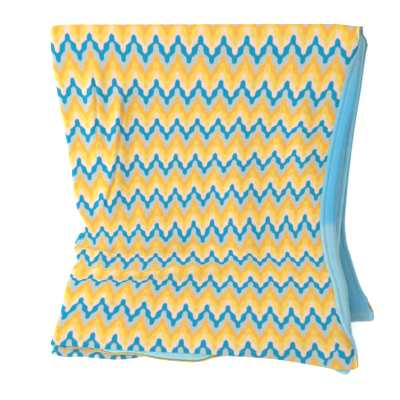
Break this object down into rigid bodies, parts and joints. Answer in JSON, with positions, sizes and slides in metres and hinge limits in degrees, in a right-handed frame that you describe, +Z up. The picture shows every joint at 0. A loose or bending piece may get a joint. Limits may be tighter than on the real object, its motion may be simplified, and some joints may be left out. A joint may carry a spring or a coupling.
{
  "type": "folded security blanket",
  "caption": "Two-ply security blanket folded in quarters: printed zigzag cotton over plush, with one margin turned back.",
  "frame": {"origin": "centre of the footprint, on the surface the blanket lies on", "axes": "+Z up from the surface, +Y towards the folded top edge, +X towards the open right edge"},
  "size_m": [0.3893, 0.4171, 0.0293],
  "materials": {
    "printed_cotton": "matte brushed cotton with a printed stepped zigzag in blue, aqua grey, orange, yellow and peach",
    "blue_plush": "short dense light-blue plush with a soft nap"
  },
  "bodies": {
    "root": {"print_panel": "printed_cotton", "plush_backing": "blue_plush"}
  },
  "joints": []
}
